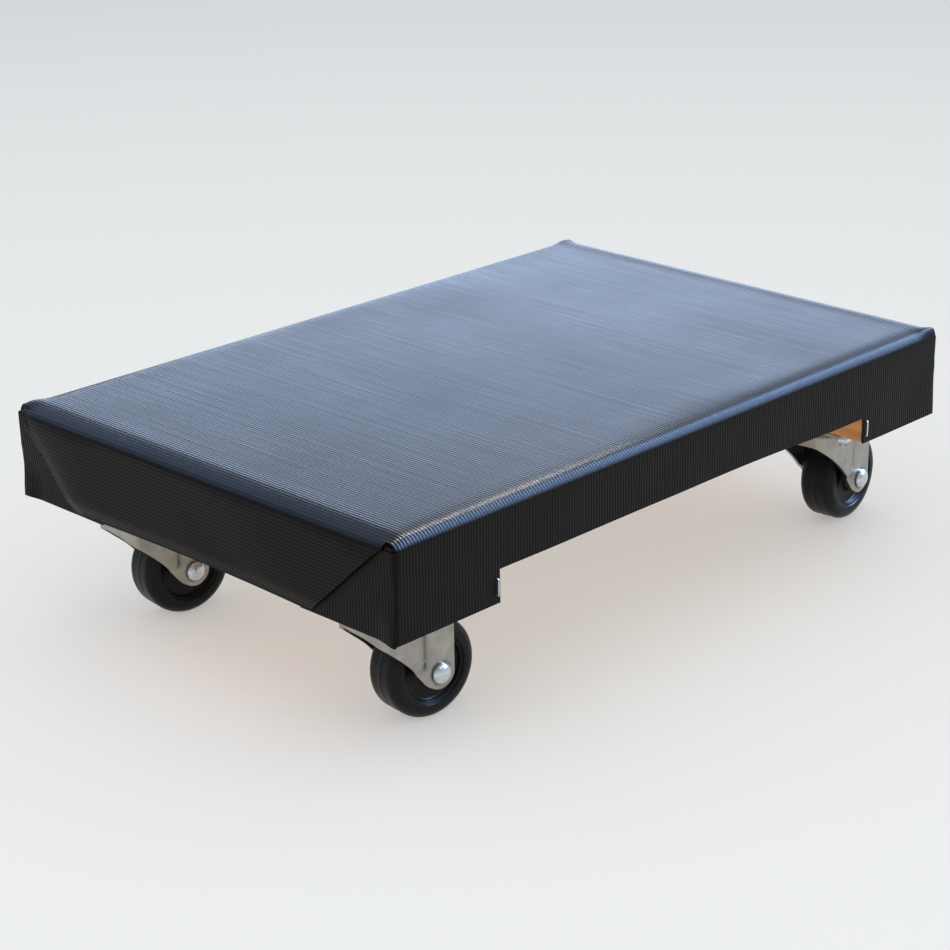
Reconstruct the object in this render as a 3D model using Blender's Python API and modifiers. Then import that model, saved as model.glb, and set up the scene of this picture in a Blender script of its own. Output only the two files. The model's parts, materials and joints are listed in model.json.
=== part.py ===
"""A rubber-covered furniture dolly: a wooden deck on two end cleats and four swivel plate casters.

Frame: metres, +Z up, the origin on the floor under the middle of the deck.
The long side runs along X. The front is the -X end, so left is the -Y side.
"""
import math

import bmesh
import bpy
from mathutils import Matrix, Vector

FIT = 0.0003  # gap between pieces that touch

# Deck: boards over two side rails over two end cleats.
DECK_LENGTH = 0.610
DECK_WIDTH = 0.406
BOARD_COUNT = 3
BOARD_THICKNESS = 0.0217
RAIL_WIDTH = 0.064
RAIL_THICKNESS = 0.0247
CLEAT_LENGTH = 0.093
CLEAT_THICKNESS = 0.0247
WOOD_EDGE = 0.0015

# Rubber cover: one layer on top and on the sides, three where it is folded round the ends.
RUBBER = 0.003
END_LAYERS = 3
COVER_EDGE = 0.005
NOTCH_OVERHANG = 0.001

# Staples through the cover into the cleats' ends.
STAPLE_CROWN = 0.0127
STAPLE_LEG = 0.0095
STAPLE_WIRE = 0.0012
STAPLE_INSET = 0.004
STAPLE_DROP = 0.0125
STAPLE_CLEARANCE = 0.0004

# Casters.
KINGPIN_FROM_END = 0.0523
KINGPIN_FROM_SIDE = 0.0681
WHEEL_DIAMETER = 0.0762
WHEEL_WIDTH = 0.03175
HEAD_STACK = 0.0254
TRAIL = 0.0294
PLATE_LENGTH = 0.0794
PLATE_WIDTH = 0.1048
PLATE_CORNER = 0.008
SHEET = 0.0026
HOLE_FROM_PLATE_END = 0.0111
HOLE_FROM_PLATE_SIDE = 0.0095
BOLT_RADIUS = 0.00318
NUT_RADIUS = 0.0063
NUT_HEIGHT = 0.0052
BOLT_TAIL = 0.0045
BOLT_CLEARANCE = 0.0005
BOLT_HEAD_RADIUS = 0.007
BOLT_HEAD_HEIGHT = 0.003

# Swivel head.
BALL_RADIUS = 0.0025
BALL_RING_RADIUS = 0.0190
BALL_CLEARANCE = 0.0005
PIN_RADIUS = 0.0055
PIN_HEAD_RADIUS = 0.0110
PIN_HEAD_HEIGHT = 0.0034
PIN_TAIL_RADIUS = 0.0090
PIN_TAIL_HEIGHT = 0.0034
PIN_CLEARANCE = 0.0006
CUP_RADIUS = 0.0160
CUP_HEIGHT = 0.0050

# Fork, axle and wheel.
FORK_FRONT = 0.0310
FORK_CORNER = 0.0120
FORK_LIP = 0.0126
FORK_EDGE = 0.0030
LEG_BEHIND_AXLE = 0.0123
BOSS_RADIUS = 0.0125
LEG_CLEARANCE = 0.0040
AXLE_RADIUS = 0.00476
AXLE_CLEARANCE = 0.0004
AXLE_HEAD_RADIUS = 0.0080
AXLE_HEAD_HEIGHT = 0.0052
AXLE_TAIL_RADIUS = 0.0070
AXLE_TAIL_HEIGHT = 0.0030
BUSHING_WALL = 0.0012
WHEEL_BORE_CLEARANCE = 0.0004
HUB_RADIUS = 0.0120
HUB_CLEARANCE = 0.0012
WEB_DEPTH = 0.0050
RIM_THICKNESS = 0.0115
STEP_WIDTH = 0.0020
STEP_DEPTH = 0.0018
TREAD_CORNER = 0.0065
TREAD_CROWN = 0.0006

# The casters as they stand: their corner, and how far each fork is turned from trailing to the rear.
CASTERS = {
    "front_left": (-1, -1, math.radians(-6.4)),
    "front_right": (-1, 1, math.radians(-7.3)),
    "rear_left": (1, -1, math.radians(5.0)),
    "rear_right": (1, 1, math.radians(-3.0)),
}

# Heights, from the floor up.
AXLE_Z = WHEEL_DIAMETER / 2
CASTER_HEIGHT = WHEEL_DIAMETER + HEAD_STACK
CLEAT_TOP = CASTER_HEIGHT + CLEAT_THICKNESS
RAIL_BOTTOM = CLEAT_TOP + FIT
RAIL_TOP = RAIL_BOTTOM + RAIL_THICKNESS
BOARD_BOTTOM = RAIL_TOP + FIT
BOARD_TOP = BOARD_BOTTOM + BOARD_THICKNESS
COVER_UNDERSIDE = BOARD_TOP + FIT
COVER_TOP = COVER_UNDERSIDE + RUBBER
PLATE_TOP = CASTER_HEIGHT - FIT
PLATE_BOTTOM = PLATE_TOP - SHEET
CROWN_TOP = PLATE_BOTTOM - 2 * BALL_RADIUS - 2 * BALL_CLEARANCE
CROWN_BOTTOM = CROWN_TOP - SHEET
CUP_TOP = CROWN_BOTTOM - FIT
CUP_BOTTOM = CUP_TOP - CUP_HEIGHT
PIN_TAIL_TOP = CUP_BOTTOM - FIT
PIN_BOTTOM = PIN_TAIL_TOP - PIN_TAIL_HEIGHT
PAN_BOTTOM = CROWN_TOP + BALL_CLEARANCE
PAN_FLOOR = PAN_BOTTOM + SHEET
LIP_BOTTOM = CROWN_TOP - FORK_LIP

# Widths that follow from the others.
CLEAT_INNER = DECK_LENGTH / 2 - CLEAT_LENGTH
COVER_HALF_LENGTH = DECK_LENGTH / 2 + END_LAYERS * RUBBER
COVER_HALF_WIDTH = DECK_WIDTH / 2 + RUBBER
NOTCH_HALF_LENGTH = CLEAT_INNER - NOTCH_OVERHANG
KINGPIN_X = DECK_LENGTH / 2 - KINGPIN_FROM_END
KINGPIN_Y = DECK_WIDTH / 2 - KINGPIN_FROM_SIDE
HOLE_X = PLATE_LENGTH / 2 - HOLE_FROM_PLATE_END
HOLE_Y = PLATE_WIDTH / 2 - HOLE_FROM_PLATE_SIDE
LEG_INNER = WHEEL_WIDTH / 2 + LEG_CLEARANCE
LEG_OUTER = LEG_INNER + SHEET
FORK_REAR = TRAIL + LEG_BEHIND_AXLE
PAN_RADIUS = BALL_RING_RADIUS - BALL_RADIUS - BALL_CLEARANCE
BUSHING_INNER = AXLE_RADIUS + AXLE_CLEARANCE
BUSHING_OUTER = BUSHING_INNER + BUSHING_WALL
WHEEL_BORE = BUSHING_OUTER + WHEEL_BORE_CLEARANCE

parts = None
cutters = None


# ---------------------------------------------------------------- helpers
def clear_scene():
    for obj in list(bpy.data.objects):
        bpy.data.objects.remove(obj, do_unlink=True)


def new_collection(name):
    collection = bpy.data.collections.new(name)
    bpy.context.scene.collection.children.link(collection)
    return collection


def material(name, color, roughness, metallic=0.0):
    made = bpy.data.materials.new(name)
    made.use_nodes = True
    shader = made.node_tree.nodes["Principled BSDF"]
    shader.inputs["Base Color"].default_value = (*color, 1.0)
    shader.inputs["Roughness"].default_value = roughness
    shader.inputs["Metallic"].default_value = metallic
    return made


def link_object(name, data, collection):
    obj = bpy.data.objects.new(name, data)
    collection.objects.link(obj)
    return obj


def box(name, low, high, bevel=0.0):
    """A box between two corners, with its edges beveled if asked."""
    low, high = Vector(low), Vector(high)
    bm = bmesh.new()
    bmesh.ops.create_cube(bm, size=1.0)
    bmesh.ops.scale(bm, vec=high - low, verts=bm.verts)
    bmesh.ops.translate(bm, vec=(low + high) / 2, verts=bm.verts)
    if bevel:
        bmesh.ops.bevel(bm, geom=bm.edges[:], offset=bevel, segments=1, affect="EDGES")
    mesh = bpy.data.meshes.new(name)
    bm.to_mesh(mesh)
    bm.free()
    return link_object(name, mesh, cutters)


def cylinder(name, radius, bottom, top, segments=16):
    bm = bmesh.new()
    bmesh.ops.create_cone(bm, cap_ends=True, segments=segments, radius1=radius, radius2=radius,
                          depth=top - bottom)
    bmesh.ops.translate(bm, vec=(0, 0, (bottom + top) / 2), verts=bm.verts)
    mesh = bpy.data.meshes.new(name)
    bm.to_mesh(mesh)
    bm.free()
    return link_object(name, mesh, cutters)


def turned(name, profile, steps, closed=False):
    """A profile of (radius, height) points, top to bottom down its outer side, turned about Z."""
    edges = [(i, i + 1) for i in range(len(profile) - 1)]
    if closed:
        edges.append((len(profile) - 1, 0))
    mesh = bpy.data.meshes.new(name)
    mesh.from_pydata([(r, 0, z) for r, z in profile], edges, [])
    obj = link_object(name, mesh, cutters)
    screw = obj.modifiers.new("Screw", "SCREW")
    screw.steps = steps
    screw.render_steps = steps
    screw.use_merge_vertices = True
    screw.merge_threshold = 0.00001
    return obj


def flat_shape(name, outline, thickness):
    """A flat outline in XY with its thickness centred on z = 0, as a mesh."""
    curve = bpy.data.curves.new(name, "CURVE")
    curve.dimensions = "2D"
    curve.fill_mode = "BOTH"
    curve.extrude = thickness / 2
    spline = curve.splines.new("POLY")
    spline.points.add(len(outline) - 1)
    for point, (x, y) in zip(spline.points, outline):
        point.co = (x, y, 0, 1)
    spline.use_cyclic_u = True
    drawn = link_object(name, curve, cutters)
    mesh = evaluated_mesh(drawn)
    bpy.data.objects.remove(drawn, do_unlink=True)
    bm = bmesh.new()
    bm.from_mesh(mesh)
    bmesh.ops.remove_doubles(bm, verts=bm.verts, dist=0.00001)
    bm.to_mesh(mesh)
    bm.free()
    return link_object(name, mesh, cutters)


def evaluated_mesh(obj):
    """The object's mesh with its modifiers and its placing worked in."""
    bpy.context.view_layer.update()
    graph = bpy.context.evaluated_depsgraph_get()
    mesh = bpy.data.meshes.new_from_object(obj.evaluated_get(graph), depsgraph=graph)
    mesh.transform(obj.matrix_world)
    return mesh


def combine(obj, operation, *others):
    """Boolean steps on obj; the other meshes are used up."""
    for other in others:
        step = obj.modifiers.new(operation.title(), "BOOLEAN")
        step.operation = operation
        step.solver = "EXACT"
        step.object = other
        other.hide_render = True
        other.display_type = "WIRE"
    return obj


def finished(obj, shader, smooth=True):
    """The evaluated mesh with its material; obj and whatever cut it are removed."""
    mesh = evaluated_mesh(obj)
    used = [step.object for step in obj.modifiers if step.type == "BOOLEAN"]
    for spent in [obj] + used:
        bpy.data.objects.remove(spent, do_unlink=True)
    mesh.materials.clear()
    mesh.materials.append(shader)
    if smooth:
        mesh.shade_smooth()
        mesh.set_sharp_from_angle(angle=math.radians(35))
    return mesh


def place(name, mesh, parent=None, location=(0, 0, 0), turn=0.0):
    obj = link_object(name, mesh, parts)
    obj.parent = parent
    obj.location = location
    obj.rotation_euler.z = turn
    return obj


def empty(name, location, turn=0.0, parent=None):
    obj = link_object(name, None, parts)
    obj.parent = parent
    obj.location = location
    obj.rotation_euler.z = turn
    return obj


def arc(centre, radius, start, end, steps):
    """Points on an arc, angles in degrees, both ends included."""
    points = []
    for i in range(steps + 1):
        angle = math.radians(start + (end - start) * i / steps)
        points.append((centre[0] + radius * math.cos(angle), centre[1] + radius * math.sin(angle)))
    return points


def rounded_rectangle(half_x, half_y, radius, steps=3):
    points = []
    for sx, sy, start in ((1, 1, 0), (-1, 1, 90), (-1, -1, 180), (1, -1, 270)):
        centre = (sx * (half_x - radius), sy * (half_y - radius))
        points += arc(centre, radius, start, start + 90, steps)
    return points


def curve_between(start, control, end, steps):
    """Points on a quadratic curve, without its two ends."""
    points = []
    for i in range(1, steps):
        t = i / steps
        points.append(tuple((1 - t) ** 2 * a + 2 * t * (1 - t) * b + t * t * c
                            for a, b, c in zip(start, control, end)))
    return points


# ---------------------------------------------------------------- deck
def make_boards(wood):
    width = (DECK_WIDTH - (BOARD_COUNT - 1) * FIT) / BOARD_COUNT
    for i in range(BOARD_COUNT):
        side = -DECK_WIDTH / 2 + i * (width + FIT)
        board = box("board", (-DECK_LENGTH / 2, side, BOARD_BOTTOM),
                    (DECK_LENGTH / 2, side + width, BOARD_TOP))
        place(f"deck_board_{i + 1}", finished(board, wood, smooth=False))


def make_rails(wood):
    for name, side in (("side_rail_left", -1), ("side_rail_right", 1)):
        outer = side * DECK_WIDTH / 2
        inner = side * (DECK_WIDTH / 2 - RAIL_WIDTH)
        rail = box("rail", (-DECK_LENGTH / 2, min(outer, inner), RAIL_BOTTOM),
                   (DECK_LENGTH / 2, max(outer, inner), RAIL_TOP), WOOD_EDGE)
        place(name, finished(rail, wood, smooth=False))


def staple_slots(end, side):
    """Clearance slots for the two legs of the staple at one corner."""
    x = end * (NOTCH_HALF_LENGTH + STAPLE_INSET)
    half = STAPLE_WIRE / 2 + STAPLE_CLEARANCE
    outer = COVER_HALF_WIDTH + FIT
    inner = COVER_HALF_WIDTH - STAPLE_LEG - FIT
    slots = []
    for z in (staple_top(), staple_top() - STAPLE_CROWN):
        slots.append(box("slot", (x - half, min(side * inner, side * outer), z - half),
                         (x + half, max(side * inner, side * outer), z + half)))
    return slots


def staple_top():
    return CLEAT_TOP - (CLEAT_THICKNESS - STAPLE_CROWN) / 2


def bolt_places(end):
    for side in (-1, 1):
        for x in (-HOLE_X, HOLE_X):
            for y in (-HOLE_Y, HOLE_Y):
                yield end * KINGPIN_X + x, side * KINGPIN_Y + y


def make_cleats(wood):
    for name, end in (("end_cleat_front", -1), ("end_cleat_rear", 1)):
        inner, outer = end * CLEAT_INNER, end * DECK_LENGTH / 2
        cleat = box("cleat", (min(inner, outer), -DECK_WIDTH / 2, CASTER_HEIGHT),
                    (max(inner, outer), DECK_WIDTH / 2, CLEAT_TOP), WOOD_EDGE)
        for x, y in bolt_places(end):
            hole = cylinder("hole", BOLT_RADIUS + BOLT_CLEARANCE, CASTER_HEIGHT - WOOD_EDGE,
                            CLEAT_TOP + WOOD_EDGE, 8)
            sink = cylinder("sink", BOLT_HEAD_RADIUS + 2 * BOLT_CLEARANCE,
                            CLEAT_TOP - BOLT_HEAD_HEIGHT - 2 * FIT, CLEAT_TOP + WOOD_EDGE, 8)
            for cutter in (hole, sink):
                cutter.location = (x, y, 0)
            combine(cleat, "DIFFERENCE", hole, sink)
        for side in (-1, 1):
            combine(cleat, "DIFFERENCE", *staple_slots(end, side))
        place(name, finished(cleat, wood, smooth=False))


def make_cover(rubber):
    """The rubber mat folded down over the deck, its long sides notched between the cleats."""
    cover = box("cover", (-COVER_HALF_LENGTH, -COVER_HALF_WIDTH, CASTER_HEIGHT),
                (COVER_HALF_LENGTH, COVER_HALF_WIDTH, COVER_TOP))
    bm = bmesh.new()
    bm.from_mesh(cover.data)
    edges = [e for e in bm.edges if max(v.co.z for v in e.verts) > COVER_TOP - RUBBER / 2]
    bmesh.ops.bevel(bm, geom=edges, offset=COVER_EDGE, segments=3, profile=0.5, affect="EDGES")
    bm.to_mesh(cover.data)
    bm.free()
    half_length, half_width = DECK_LENGTH / 2 + FIT, DECK_WIDTH / 2 + FIT
    hollow = box("hollow", (-half_length, -half_width, CASTER_HEIGHT - RUBBER),
                 (half_length, half_width, COVER_UNDERSIDE))
    notch = box("notch", (-NOTCH_HALF_LENGTH, -DECK_WIDTH, CASTER_HEIGHT - RUBBER),
                (NOTCH_HALF_LENGTH, DECK_WIDTH, RAIL_BOTTOM))
    combine(cover, "DIFFERENCE", hollow, notch)
    for end in (-1, 1):
        for side in (-1, 1):
            combine(cover, "DIFFERENCE", *staple_slots(end, side))
    place("rubber_cover", finished(cover, rubber))


def make_staples(steel):
    """One staple at each corner of the notches, its crown upright on the cover's side."""
    face = COVER_HALF_WIDTH + FIT + STAPLE_WIRE / 2
    for corner, (end, side, _) in CASTERS.items():
        curve = bpy.data.curves.new("staple", "CURVE")
        curve.dimensions = "3D"
        curve.bevel_depth = STAPLE_WIRE / 2
        curve.bevel_resolution = 1
        curve.use_fill_caps = True
        spline = curve.splines.new("POLY")
        spline.points.add(3)
        x = end * (NOTCH_HALF_LENGTH + STAPLE_INSET)
        top, bottom = staple_top(), staple_top() - STAPLE_CROWN
        tip = side * (face - STAPLE_LEG)
        route = ((x, tip, top), (x, side * face, top), (x, side * face, bottom), (x, tip, bottom))
        for point, co in zip(spline.points, route):
            point.co = (*co, 1)
        curve.materials.append(steel)
        place(f"staple_{corner}", curve)


# ---------------------------------------------------------------- casters
def plate_mesh(zinc):
    """The top plate, with the pan pressed down round the kingpin as its inner race."""
    plate = flat_shape("plate", rounded_rectangle(PLATE_LENGTH / 2, PLATE_WIDTH / 2, PLATE_CORNER),
                       SHEET)
    plate.location.z = (PLATE_TOP + PLATE_BOTTOM) / 2
    pan = cylinder("pan", PAN_RADIUS, PAN_BOTTOM, PLATE_TOP - SHEET / 2)
    recess = cylinder("recess", PAN_RADIUS - SHEET, PAN_FLOOR, PLATE_TOP + SHEET)
    hole = cylinder("pin_hole", PIN_RADIUS + PIN_CLEARANCE, PAN_BOTTOM - SHEET, PLATE_TOP)
    combine(plate, "UNION", pan)
    combine(plate, "DIFFERENCE", recess, hole)
    for x in (-HOLE_X, HOLE_X):
        for y in (-HOLE_Y, HOLE_Y):
            bolt_hole = cylinder("bolt_hole", BOLT_RADIUS + BOLT_CLEARANCE, PLATE_BOTTOM - SHEET,
                                 PLATE_TOP + SHEET, 8)
            bolt_hole.location = (x, y, 0)
            combine(plate, "DIFFERENCE", bolt_hole)
    return finished(plate, zinc)


def ball_ring_mesh(steel):
    centre = CROWN_TOP + BALL_CLEARANCE + BALL_RADIUS
    ring = turned("ring", arc((BALL_RING_RADIUS, centre), BALL_RADIUS, 90, -210, 5), 20, closed=True)
    return finished(ring, steel)


def kingpin_mesh(steel):
    head_bottom = PAN_FLOOR + FIT
    head_top = head_bottom + PIN_HEAD_HEIGHT
    chamfer = PIN_TAIL_HEIGHT / 3
    profile = [
        (0, head_top),
        (PIN_HEAD_RADIUS - chamfer, head_top),
        (PIN_HEAD_RADIUS, head_top - chamfer),
        (PIN_HEAD_RADIUS, head_bottom),
        (PIN_RADIUS, head_bottom),
        (PIN_RADIUS, PIN_TAIL_TOP),
        (PIN_TAIL_RADIUS, PIN_TAIL_TOP),
        (PIN_TAIL_RADIUS, PIN_BOTTOM + chamfer),
        (PIN_TAIL_RADIUS - chamfer, PIN_BOTTOM),
        (0, PIN_BOTTOM),
    ]
    return finished(turned("kingpin", profile, 16), steel)


def race_cup_mesh(zinc):
    """The lower race: a shallow cup round the kingpin, under the fork's crown."""
    bore = PIN_RADIUS + PIN_CLEARANCE
    profile = [
        (bore, CUP_TOP),
        (CUP_RADIUS, CUP_TOP),
        (CUP_RADIUS, CUP_TOP - CUP_HEIGHT / 3),
        (PIN_TAIL_RADIUS + SHEET, CUP_BOTTOM),
        (bore, CUP_BOTTOM),
    ]
    return finished(turned("cup", profile, 16, closed=True), zinc)


def leg_outline():
    """Side outline of a fork leg, seen from -Y, with the kingpin at x = 0."""
    margin = SHEET
    front, rear = -FORK_FRONT - margin, FORK_REAR
    boss = (TRAIL, AXLE_Z)
    boss_arc = arc(boss, BOSS_RADIUS, 225, 360, 6)
    lip = (-FORK_FRONT, LIP_BOTTOM)
    bend = (boss[0] - 2.6 * BOSS_RADIUS, boss[1] + 1.3 * BOSS_RADIUS)
    points = [(front, CROWN_TOP + margin), (front, LIP_BOTTOM), lip]
    points += curve_between(lip, bend, boss_arc[0], 6)
    points += boss_arc
    points += [(rear, AXLE_Z + BOSS_RADIUS), (rear, CROWN_TOP + margin)]
    return points


def fork_plan(inset, rear):
    """Plan outline of the fork: two round front corners, square at the rear."""
    front, side = -FORK_FRONT + inset, LEG_OUTER - inset
    radius = FORK_CORNER - inset
    points = [(rear, side)]
    points += arc((front + radius, side - radius), radius, 90, 180, 4)
    points += arc((front + radius, radius - side), radius, 180, 270, 4)
    points.append((rear, -side))
    return points


def fork_mesh(zinc):
    """A pressed fork: crown, front lip and two legs, from one thickness of sheet."""
    bottom = AXLE_Z - BOSS_RADIUS
    height = CROWN_TOP - bottom
    shell = flat_shape("fork", fork_plan(0, FORK_REAR), height)
    bm = bmesh.new()
    bm.from_mesh(shell.data)
    rim = [e for e in bm.edges
           if all(v.co.z > height / 2 - FIT for v in e.verts) and len(e.link_faces) == 2
           and e.calc_face_angle() > math.radians(60)
           and not all(v.co.x > FORK_REAR - FIT for v in e.verts)]
    bmesh.ops.bevel(bm, geom=rim, offset=FORK_EDGE, segments=2, profile=0.5, affect="EDGES")
    bm.to_mesh(shell.data)
    bm.free()
    shell.location.z = bottom + height / 2
    inside_height = height - SHEET + BOSS_RADIUS
    inside = flat_shape("inside", fork_plan(SHEET, FORK_REAR + BOSS_RADIUS), inside_height)
    inside.location.z = CROWN_BOTTOM - inside_height / 2
    outline = flat_shape("outline", leg_outline(), 4 * LEG_OUTER)
    outline.rotation_euler.x = math.radians(90)
    pin_hole = cylinder("pin_hole", PIN_RADIUS + PIN_CLEARANCE, CROWN_BOTTOM - SHEET,
                        CROWN_TOP + SHEET)
    axle_hole = cylinder("axle_hole", AXLE_RADIUS + AXLE_CLEARANCE, -2 * LEG_OUTER, 2 * LEG_OUTER)
    axle_hole.rotation_euler.x = math.radians(90)
    axle_hole.location = (TRAIL, 0, AXLE_Z)
    combine(shell, "DIFFERENCE", inside)
    combine(shell, "INTERSECT", outline)
    combine(shell, "DIFFERENCE", pin_hole, axle_hole)
    return finished(shell, zinc)


def along_axle(mesh):
    """Turns a mesh made about Z so that its top points along -Y."""
    mesh.transform(Matrix.Rotation(math.radians(90), 4, "X"))
    return mesh


def axle_mesh(steel):
    """The axle rivet: a domed head on the left, a flatter peened end on the right."""
    head = LEG_OUTER + FIT
    dome = arc((0, 0), 1, 90, 0, 4)
    profile = [(AXLE_HEAD_RADIUS * r, head + AXLE_HEAD_HEIGHT * z) for r, z in dome]
    profile += [(AXLE_RADIUS, head), (AXLE_RADIUS, -head), (AXLE_TAIL_RADIUS, -head)]
    profile += [(AXLE_TAIL_RADIUS * 0.7, -head - AXLE_TAIL_HEIGHT), (0, -head - AXLE_TAIL_HEIGHT)]
    profile[0] = (0, head + AXLE_HEAD_HEIGHT)
    return along_axle(finished(turned("axle", profile, 16), steel))


def bushing_mesh(steel):
    half = LEG_INNER - FIT
    profile = [(BUSHING_INNER, half), (BUSHING_OUTER, half), (BUSHING_OUTER, -half),
               (BUSHING_INNER, -half)]
    return along_axle(finished(turned("bushing", profile, 16, closed=True), steel))


def wheel_half_profile():
    """One side of the wheel, from its bore to the middle of the tread."""
    radius, half = WHEEL_DIAMETER / 2, WHEEL_WIDTH / 2
    hub_half = LEG_INNER - HUB_CLEARANCE
    web = half - WEB_DEPTH
    rim = radius - RIM_THICKNESS
    corner = arc((radius - TREAD_CROWN - TREAD_CORNER, half - TREAD_CORNER), TREAD_CORNER, 90, 0, 2)
    return [
        (WHEEL_BORE, hub_half),
        (HUB_RADIUS, hub_half),
        (HUB_RADIUS + STEP_WIDTH / 2, web),
        (rim - STEP_WIDTH, web),
        (rim - STEP_WIDTH, half - STEP_DEPTH),
        (rim, half - STEP_DEPTH),
        (rim, half),
    ] + corner


def wheel_mesh(rubber):
    near = wheel_half_profile()
    far = [(r, -y) for r, y in reversed(near)]
    profile = near + [(WHEEL_DIAMETER / 2, 0)] + far
    return along_axle(finished(turned("wheel", profile, 28, closed=True), rubber))


def bolt_mesh(steel):
    """A carriage bolt with its nut, head up, in one piece."""
    head_bottom = CLEAT_TOP - BOLT_HEAD_HEIGHT - FIT
    nut_top = PLATE_BOTTOM - FIT
    tail = nut_top - NUT_HEIGHT - BOLT_TAIL
    profile = [
        (0, CLEAT_TOP - FIT),
        (BOLT_HEAD_RADIUS * 0.6, CLEAT_TOP - FIT - BOLT_HEAD_HEIGHT * 0.2),
        (BOLT_HEAD_RADIUS, head_bottom),
        (BOLT_RADIUS, head_bottom),
        (BOLT_RADIUS, tail + BOLT_RADIUS / 4),
        (BOLT_RADIUS * 0.75, tail),
        (0, tail),
    ]
    bolt = turned("bolt", profile, 10)
    nut = cylinder("nut", NUT_RADIUS, nut_top - NUT_HEIGHT, nut_top, 6)
    combine(bolt, "UNION", nut)
    return finished(bolt, steel)


def make_casters(zinc, steel, rubber):
    plate, ring, kingpin = plate_mesh(zinc), ball_ring_mesh(steel), kingpin_mesh(steel)
    cup, fork = race_cup_mesh(zinc), fork_mesh(zinc)
    axle, bushing, wheel = axle_mesh(steel), bushing_mesh(steel), wheel_mesh(rubber)
    bolt = bolt_mesh(steel)
    for corner, (end, side, turn) in CASTERS.items():
        head = empty(f"head_{corner}", (end * KINGPIN_X, side * KINGPIN_Y, 0))
        place(f"top_plate_{corner}", plate, head)
        place(f"kingpin_{corner}", kingpin, head)
        place(f"race_cup_{corner}", cup, head)
        bolt_spots = [(x, y) for x in (-HOLE_X, HOLE_X) for y in (-HOLE_Y, HOLE_Y)]
        for i, (x, y) in enumerate(bolt_spots):
            place(f"bolt_{corner}_{i + 1}", bolt, head, (x, y, 0))
        swivel = empty(f"swivel_{corner}", (0, 0, 0), turn, head)
        place(f"ball_ring_{corner}", ring, swivel)
        place(f"fork_{corner}", fork, swivel)
        hub = empty(f"hub_{corner}", (TRAIL, 0, AXLE_Z), 0, swivel)
        place(f"axle_{corner}", axle, hub)
        place(f"bushing_{corner}", bushing, hub)
        place(f"wheel_{corner}", wheel, hub)


def main():
    global parts, cutters
    clear_scene()
    parts = new_collection("furniture_dolly")
    cutters = new_collection("cutters")
    wood = material("varnished hardwood", (0.42, 0.17, 0.05), 0.35)
    rubber = material("ribbed black rubber", (0.02, 0.022, 0.026), 0.45)
    tyre = material("hard black rubber", (0.012, 0.012, 0.014), 0.35)
    zinc = material("zinc-plated sheet steel", (0.62, 0.60, 0.57), 0.35, 1.0)
    steel = material("bright zinc-plated steel", (0.72, 0.74, 0.78), 0.25, 1.0)
    make_boards(wood)
    make_rails(wood)
    make_cleats(wood)
    make_cover(rubber)
    make_staples(steel)
    make_casters(zinc, steel, tyre)


main()
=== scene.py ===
"""Looks of the rubber-covered dolly: ribbed mat, pressed forks, hard rubber wheels, varnished wood."""
import json
import math

import bmesh
import bpy
from mathutils import Matrix, Vector, noise

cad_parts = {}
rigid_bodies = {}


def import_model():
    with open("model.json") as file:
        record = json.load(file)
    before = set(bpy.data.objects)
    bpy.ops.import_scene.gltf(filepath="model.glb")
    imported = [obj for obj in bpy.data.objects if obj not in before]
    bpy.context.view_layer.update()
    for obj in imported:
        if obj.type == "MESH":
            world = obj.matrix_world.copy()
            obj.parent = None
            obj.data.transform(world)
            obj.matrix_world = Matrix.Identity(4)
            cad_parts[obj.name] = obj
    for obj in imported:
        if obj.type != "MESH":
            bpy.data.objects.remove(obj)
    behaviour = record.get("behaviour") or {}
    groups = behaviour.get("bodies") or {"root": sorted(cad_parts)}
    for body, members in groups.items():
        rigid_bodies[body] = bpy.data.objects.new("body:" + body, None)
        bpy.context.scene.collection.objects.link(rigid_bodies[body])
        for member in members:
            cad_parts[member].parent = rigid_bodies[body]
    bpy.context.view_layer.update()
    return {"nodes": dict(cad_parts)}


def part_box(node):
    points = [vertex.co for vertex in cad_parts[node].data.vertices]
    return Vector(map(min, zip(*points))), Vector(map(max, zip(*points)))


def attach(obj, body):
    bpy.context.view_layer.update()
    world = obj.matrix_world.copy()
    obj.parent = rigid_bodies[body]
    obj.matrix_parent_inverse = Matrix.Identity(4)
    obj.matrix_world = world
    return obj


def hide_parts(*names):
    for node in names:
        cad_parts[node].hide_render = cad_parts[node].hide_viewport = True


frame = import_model()

MM = 0.001
CORNERS = ("front_left", "front_right", "rear_left", "rear_right")

# ---------------------------------------------------------------- sizes read from the frame
cover_low, cover_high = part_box("rubber_cover")
cleat_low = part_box("end_cleat_rear")[0]
rail_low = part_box("side_rail_left")[0]
plate_low, plate_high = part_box("top_plate_front_left")
wheel_low, wheel_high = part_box("wheel_front_left")
cup_low, cup_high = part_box("race_cup_front_left")
pin_low, pin_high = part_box("kingpin_front_left")
bolt_low, bolt_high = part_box("bolt_front_left_1")

# ---------------------------------------------------------------- the mat's own sizes
RIB_PITCH = 2.9 * MM
RIB_HEIGHT = 0.3 * MM
RIB_STEP = RIB_PITCH / 4
MAT_THICKNESS = 2.2 * MM
# How the mat turns over an edge: millimetres along it, and the degrees it has tipped by there.
LONG_TILTS = ((0, 0), (5, 4), (9, 8), (12, 13), (14.5, 22), (16, 34), (17.5, 44), (21, 52), (22, 75), (23, 90))
END_TILTS = ((0, 0), (3, 7), (7, 13), (12, 18), (15, 25), (17, 38), (18.5, 57), (20, 74), (22.5, 90))
NOTCH_X = cleat_low.x - 1 * MM
HALF_WIDTH = cover_high.y - RIB_HEIGHT
HALF_LENGTH = cover_high.x - RIB_HEIGHT
TOP = cover_high.z - RIB_HEIGHT
SKIRT = TOP - cover_low.z
NOTCH_DEPTH = TOP - rail_low.z


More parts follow.
